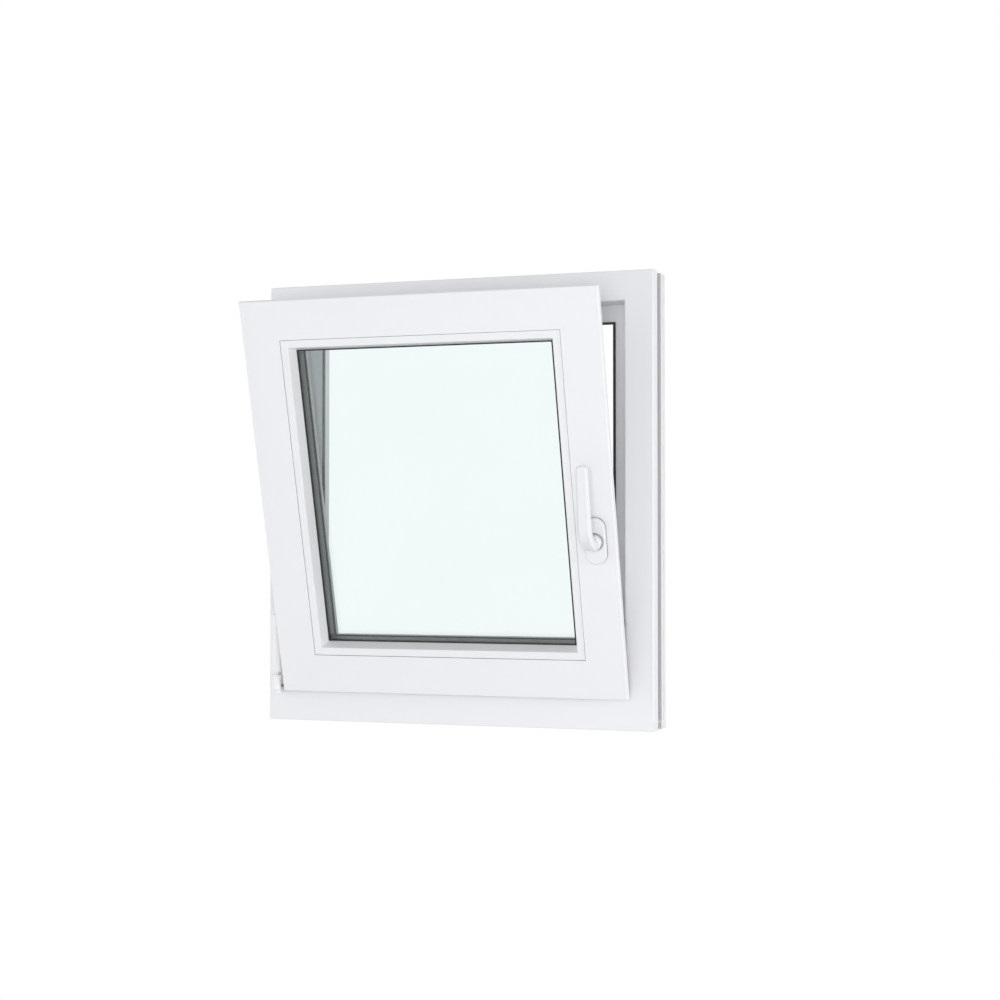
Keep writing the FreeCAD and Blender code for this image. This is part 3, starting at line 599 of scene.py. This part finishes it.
@dataclass
class Rivet:
    """A low round rivet head, made along +Z."""

    radius: float = 0.0042
    height: float = 0.0008
    rings: int = 5
    segments: int = 32

    def add_to(self, mesh: bmesh.types.BMesh, foot: Vector) -> None:
        """Make the head in an empty mesh.

        Args:
            mesh: The mesh that gains the head.
            foot: The middle of the head's underside.
        """
        steps = [math.pi / 2 * count / self.rings for count in range(self.rings + 1)]
        points = [(self.radius * math.cos(a), 0, self.height * math.sin(a)) for a in steps]
        spin_outline(mesh, points, (0, 0, 1), self.segments)
        bmesh.ops.translate(mesh, verts=mesh.verts, vec=foot)


@dataclass
class BasePlate:
    """A flat plate with round ends, made upright in the XZ plane and growing along -Y."""

    width: float = 0.0307
    height: float = 0.0667
    thickness: float = 0.0032
    segments: int = 48

    def add_to(self, mesh: bmesh.types.BMesh, middle: Vector) -> None:
        """Make the plate in an empty mesh.

        Args:
            mesh: The mesh that gains the plate.
            middle: The middle of the plate's back.
        """
        disc = bmesh.ops.create_circle(mesh, cap_ends=True, segments=self.segments, radius=self.width / 2)
        rim = disc["verts"]
        half_step = Matrix.Rotation(math.pi / self.segments, 3, "Z")
        bmesh.ops.rotate(mesh, verts=rim, cent=(0, 0, 0), matrix=half_step)
        # The two halves of the circle move apart, which leaves straight sides between them.
        for vert in rim:
            vert.co.y += math.copysign((self.height - self.width) / 2, vert.co.y)
        bmesh.ops.rotate(mesh, verts=rim, cent=(0, 0, 0), matrix=Matrix.Rotation(math.pi / 2, 3, "X"))
        front = verts_of(bmesh.ops.extrude_face_region(mesh, geom=list(mesh.faces))["geom"])
        bmesh.ops.translate(mesh, verts=front, vec=(0, -self.thickness, 0))
        bmesh.ops.translate(mesh, verts=mesh.verts, vec=middle)


@dataclass
class Bush:
    """A low ring with a bevelled rim, made round the Y axis and growing along -Y."""

    inner: float = 0.0113
    outer: float = 0.0128
    height: float = 0.0022
    bevel: float = 0.0005
    sink: float = 0.0004
    segments: int = 48

    def add_to(self, mesh: bmesh.types.BMesh, middle: Vector) -> None:
        """Make the ring in an empty mesh.

        Args:
            mesh: The mesh that gains the ring.
            middle: The middle of the face that the ring stands on.
        """
        corners = ((self.inner, -self.sink), (self.outer, -self.sink),
                   (self.outer, self.height - self.bevel), (self.outer - self.bevel, self.height),
                   (self.inner, self.height))
        points = [(radius, -out, 0) for radius, out in corners]
        spin_outline(mesh, points, (0, 1, 0), self.segments, closed=True)
        bmesh.ops.translate(mesh, verts=mesh.verts, vec=middle)


@dataclass
class Motion:
    """How the moving pieces stand at rest, from the shut window's places; angles in degrees."""

    turn_x: float = -0.2805
    pivot_y: float = -0.026
    tilt_z: float = 0.0525
    tilt: float = 15.2
    barrel_z: float = 0.6001
    swing: float = 26.57445
    lean: float = 5.61607

    def tilted(self) -> Matrix:
        """Work out how the sash tilts.

        Returns:
            The move from the shut sash to the tilted one.
        """
        pivot = Vector((0, self.pivot_y, self.tilt_z))
        turn = Matrix.Rotation(math.radians(self.tilt), 4, "X")
        return Matrix.Translation(pivot) @ turn @ Matrix.Translation(-pivot)

    def swung(self) -> Matrix:
        """Work out how the stay swings.

        Returns:
            The move from the shut stay to the one that holds the tilted sash.
        """
        pivot = Vector((self.turn_x, self.pivot_y, self.barrel_z))
        lean = math.radians(self.lean)
        axis = Vector((0, -math.sin(lean), math.cos(lean)))
        turn = Matrix.Rotation(-math.radians(self.swing), 4, axis)
        return Matrix.Translation(pivot) @ turn @ Matrix.Translation(-pivot)


@dataclass
class FixedFrame:
    """The fixed frame with its seal, drain caps and keeps."""

    finishes: Finishes
    keep_face_x: float = 0.254
    keep_face_z: float = 0.058
    keep_place_z: float = 0.126
    keep_places_x: tuple[float, ...] = (-0.120, 0.120)
    keep_screw_y: float = 0.0065
    keep_screw_reach: float = 0.022
    first_turn: float = 10.0
    turn_step: float = 23.0

    def build(self) -> None:
        """Dress the frame's nodes and add its screws."""
        for node in ("frame_head", "frame_sill"):
            dress(node, self.finishes.plastic_level)
        for node in ("frame_jamb_left", "frame_jamb_right"):
            dress(node, self.finishes.plastic_upright)
        dress("frame_seal", self.finishes.rubber)
        dress("drain_caps", self.finishes.cover)
        dress("striker_plates", self.finishes.steel)
        self._keep_screws()

    def _keep_screws(self) -> None:
        """Add two screw heads to each keep."""
        mesh = bmesh.new()
        screw = Screw()
        inward = Vector((-1, 0, 0))
        up = Vector((0, 0, 1))
        turn = self.first_turn
        for side in (-1, 1):
            reach = side * self.keep_screw_reach
            foot = Vector((self.keep_face_x, self.keep_screw_y, self.keep_place_z + reach))
            screw.add_to(mesh, foot, inward, turn)
            for x in self.keep_places_x:
                turn += self.turn_step
                screw.add_to(mesh, Vector((x + reach, self.keep_screw_y, self.keep_face_z)), up, turn)
        add_piece("keep_screws", mesh, Body.FRAME, self.finishes.steel)


@dataclass
class Hinge:
    """The corner bearing, the stay bearing, their covers and the pivot."""

    finishes: Finishes

    def build(self) -> None:
        """Dress the hinge's nodes."""
        for node in ("corner_bearing", "corner_bearing_cover", "stay_bearing_cover", "pivot_cup"):
            dress(node, self.finishes.cover)
        dress("stay_bearing", self.finishes.steel)
        dress("tilt_pin", self.finishes.dark_steel)


@dataclass
class Sash:
    """The tilting sash with its glass, seals and locking fittings."""

    finishes: Finishes
    motion: Motion
    edge_x: float = 0.235
    shelf_low: float = 0.078
    shelf_high: float = 0.601
    fitting_y: float = -0.007
    screws_z: tuple[float, ...] = (0.100, 0.215, 0.335, 0.455, 0.570)
    screws_low_x: tuple[float, ...] = (-0.205, -0.060, 0.060, 0.205)
    screws_high_x: tuple[float, ...] = (-0.205, -0.095, 0.110, 0.205)
    turn_step: float = 17.0
    cam_height: float = 0.012
    cam_side_z: float = 0.126
    cams_low_x: tuple[float, ...] = (-0.120, 0.120)

    def build(self) -> None:
        """Dress the sash's nodes and add its screws and key sockets."""
        for node in ("sash_top_rail", "sash_bottom_rail", "glazing_bead_top", "glazing_bead_bottom"):
            dress(node, self.finishes.plastic_level)
        for node in ("sash_stile_left", "sash_stile_right", "glazing_bead_left", "glazing_bead_right"):
            dress(node, self.finishes.plastic_upright)
        for node in ("inner_pane", "outer_pane"):
            dress(node, self.finishes.glass)
        for node in ("inner_glazing_gasket", "outer_glazing_gasket", "sash_seal"):
            dress(node, self.finishes.rubber)
        dress("spacer_bar", self.finishes.spacer)
        for node in ("fitting_faceplates", "locking_cams"):
            dress(node, self.finishes.steel)
        self._faceplate_screws()
        self._cam_sockets()

    def _cam_sockets(self) -> None:
        """Add the key socket at the end of each locking cam."""
        mesh = bmesh.new()
        cap = SocketCap()
        side_end = Vector((self.edge_x + self.cam_height, self.fitting_y, self.cam_side_z))
        cap.add_to(mesh, side_end, Vector((1, 0, 0)))
        for x in self.cams_low_x:
            low_end = Vector((x, self.fitting_y, self.shelf_low - self.cam_height))
            cap.add_to(mesh, low_end, Vector((0, 0, -1)))
        bmesh.ops.transform(mesh, verts=mesh.verts, matrix=self.motion.tilted())
        add_piece("cam_sockets", mesh, Body.SASH, self.finishes.steel)

    def _faceplate_screws(self) -> None:
        """Add the screws that hold the faceplate round the sash's edge."""
        mesh = bmesh.new()
        screw = Screw(radius=0.0036, arm=0.0019, width=0.0008)
        spots: list[tuple[Place, Place]] = []
        for side in (-1, 1):
            spots += [((side * self.edge_x, self.fitting_y, z), (side, 0, 0)) for z in self.screws_z]
        spots += [((x, self.fitting_y, self.shelf_low), (0, 0, -1)) for x in self.screws_low_x]
        spots += [((x, self.fitting_y, self.shelf_high), (0, 0, 1)) for x in self.screws_high_x]
        for count, (foot, way) in enumerate(spots):
            screw.add_to(mesh, Vector(foot), Vector(way), self.turn_step * count)
        bmesh.ops.transform(mesh, verts=mesh.verts, matrix=self.motion.tilted())
        add_piece("faceplate_screws", mesh, Body.SASH, self.finishes.steel)


@dataclass
class Handle:
    """The lever and the oval plate that it turns in."""

    finishes: Finishes
    motion: Motion
    axis_x: float = 0.2385
    axis_z: float = 0.280
    sash_face_y: float = -0.032
    rosette_face_y: float = -0.041

    def build(self) -> None:
        """Dress the handle's nodes and add the dark base under its plate and the dark bush round its
        neck, whose grey paints the shade at the plate's rim and round the neck.
        """
        for node in ("handle_rosette", "handle_lever"):
            dress(node, self.finishes.enamel)
        # Painted shade: the dark base and bush stand in for the shadow at the plate's rim and round the
        # neck.
        self._seat("handle_base_painted_shade", BasePlate(), self.sash_face_y)
        self._seat("handle_bush_painted_shade", Bush(), self.rosette_face_y)

    def _seat(self, name: str, shape: BasePlate | Bush, face_y: float) -> None:
        """Add a dark nylon piece on the handle's axis, whose grey stands in for shade.

        Args:
            name: The piece's name.
            shape: What makes its mesh.
            face_y: The depth of the face that it stands on, with the sash shut.
        """
        mesh = bmesh.new()
        shape.add_to(mesh, Vector((self.axis_x, face_y, self.axis_z)))
        bmesh.ops.transform(mesh, verts=mesh.verts, matrix=self.motion.tilted())
        add_piece(name, mesh, Body.SASH, self.finishes.shade_nylon)


@dataclass
class Stay:
    """The arm that holds the sash at the top."""

    finishes: Finishes
    motion: Motion
    rivet_place: Place = (0.0395, -0.007, 0.6107)

    def build(self) -> None:
        """Dress the stay and add the rivet over its slider."""
        dress("stay_arm", self.finishes.steel)
        mesh = bmesh.new()
        Rivet().add_to(mesh, Vector(self.rivet_place))
        bmesh.ops.transform(mesh, verts=mesh.verts, matrix=self.motion.swung())
        add_piece("slider_rivet", mesh, Body.STAY, self.finishes.steel)


@dataclass(frozen=True)
class Lamp:
    """A soft square lamp: its name, place, width in metres and power in watts."""

    name: str
    place: Place
    size: float
    power: float

    def hang(self, target: Place) -> None:
        """Hang the lamp so that it faces a target, and hide it from camera, gloss and glass.

        Args:
            target: The place that it faces.
        """
        data = bpy.data.lights.new(self.name, "AREA")
        data.size = self.size
        data.energy = self.power
        lamp = bpy.data.objects.new(self.name, data)
        lamp.location = self.place
        aim = Vector(target) - Vector(self.place)
        lamp.rotation_euler = aim.to_track_quat("-Z", "Y").to_euler()
        lamp.visible_camera = False
        lamp.visible_glossy = False
        lamp.visible_transmission = False
        bpy.context.scene.collection.objects.link(lamp)


@dataclass
class Studio:
    """The floor, the light and the camera."""

    camera_place: Place = (0.93197, -2.52271, 0.26450)
    camera_pitch: float = 91.3992
    camera_turn: float = 18.9472
    lens: float = 65.639
    sensor: float = 36.0
    floor_z: float = -0.9
    floor_radius: float = 40.0
    floor_segments: int = 96
    floor_colour: Colour = (0.86, 0.86, 0.86)
    floor_roughness: float = 0.9
    fade_start: float = 0.7
    fade_end: float = 1.9
    sky_colour: Colour = (0.97, 0.98, 1.0)
    sky_strength: float = 0.5
    lamp_target: Place = (0, -0.05, 0.33)
    lamps: tuple[Lamp, ...] = (
        Lamp("front_light", (0.93, -3.0, 0.35), size=0.8, power=33.0),
        Lamp("back_light", (0.2, 3.4, 0.4), size=1.6, power=18.0),
        Lamp("left_light", (-3.4, -1.2, 0.4), size=2.4, power=36.0),
        Lamp("right_light", (3.3, -0.6, 0.35), size=1.0, power=32.0))

    def build(self) -> None:
        """Set up the view, the world, the floor, the lamps and the camera."""
        bpy.context.scene.view_settings.view_transform = "Standard"
        self._world()
        self._floor()
        for lamp in self.lamps:
            lamp.hang(self.lamp_target)
        self._camera()

    def _world(self) -> None:
        """Give soft light from all round, with white behind the window."""
        world = bpy.data.worlds.new("soft_room")
        bpy.context.scene.world = world
        world.use_nodes = True
        nodes = Nodes(world.node_tree)
        light = nodes.add("Background")
        light.inputs["Color"].default_value = (*self.sky_colour, 1)
        light.inputs["Strength"].default_value = self.sky_strength
        white = nodes.add("Background")
        white.inputs["Color"].default_value = (1, 1, 1, 1)
        choice = nodes.add("MixShader")
        nodes.link(nodes.background_rays(), choice.inputs["Fac"])
        nodes.link(light.outputs[0], choice.inputs[1])
        nodes.link(white.outputs[0], choice.inputs[2])
        output = nodes.add("OutputWorld")
        nodes.link(choice.outputs[0], output.inputs["Surface"])

    def _floor(self) -> None:
        """Lay a pale floor that fades to white away from the window."""
        mesh = bmesh.new()
        bmesh.ops.create_circle(mesh, cap_ends=True, segments=self.floor_segments,
                                radius=self.floor_radius)
        bmesh.ops.translate(mesh, verts=mesh.verts, vec=(0, 0, self.floor_z))
        data = bpy.data.meshes.new("floor")
        mesh.to_mesh(data)
        mesh.free()
        data.materials.append(self._floor_finish())
        floor = bpy.data.objects.new("floor", data)
        bpy.context.scene.collection.objects.link(floor)

    def _floor_finish(self) -> bpy.types.Material:
        """Build the floor's material.

        Returns:
            A pale matt finish near the window, plain white further off.
        """
        material = bpy.data.materials.new("pale_floor")
        material.use_nodes = True
        nodes = Nodes(material.node_tree)
        matt = nodes.add("BsdfPrincipled")
        matt.inputs["Base Color"].default_value = (*self.floor_colour, 1)
        matt.inputs["Roughness"].default_value = self.floor_roughness
        white = nodes.add("Emission")
        place = nodes.add("TexCoord")
        level = nodes.add("VectorMath", operation="MULTIPLY")
        level.inputs[1].default_value = (1, 1, 0)
        nodes.link(place.outputs["Object"], level.inputs[0])
        away = nodes.add("VectorMath", operation="LENGTH")
        nodes.link(level.outputs[0], away.inputs[0])
        fade = nodes.add("MapRange", interpolation_type="SMOOTHSTEP")
        fade.inputs["From Min"].default_value = self.fade_start
        fade.inputs["From Max"].default_value = self.fade_end
        nodes.link(away.outputs["Value"], fade.inputs["Value"])
        share = nodes.add("Math", operation="MULTIPLY")
        nodes.link(fade.outputs["Result"], share.inputs[0])
        nodes.link(nodes.background_rays(), share.inputs[1])
        choice = nodes.add("MixShader")
        nodes.link(share.outputs[0], choice.inputs["Fac"])
        nodes.link(matt.outputs["BSDF"], choice.inputs[1])
        nodes.link(white.outputs["Emission"], choice.inputs[2])
        output = nodes.add("OutputMaterial")
        nodes.link(choice.outputs["Shader"], output.inputs["Surface"])
        return material

    def _camera(self) -> None:
        """Set the camera where the photograph was taken from."""
        data = bpy.data.cameras.new("camera")
        data.lens = self.lens
        data.sensor_width = self.sensor
        camera = bpy.data.objects.new("camera", data)
        camera.location = self.camera_place
        camera.rotation_euler = (math.radians(self.camera_pitch), 0, math.radians(self.camera_turn))
        bpy.context.scene.collection.objects.link(camera)
        bpy.context.scene.camera = camera


def main() -> None:
    """Dress the window, build its small pieces and set up the studio."""
    logging.basicConfig(level=logging.INFO, format="%(message)s")
    finishes = Finishes()
    motion = Motion()
    for part in (FixedFrame(finishes), Hinge(finishes), Sash(finishes, motion),
                 Handle(finishes, motion), Stay(finishes, motion), Studio()):
        part.build()
        LOG.info("%s done", type(part).__name__)


if __name__ == "__main__":
    main()
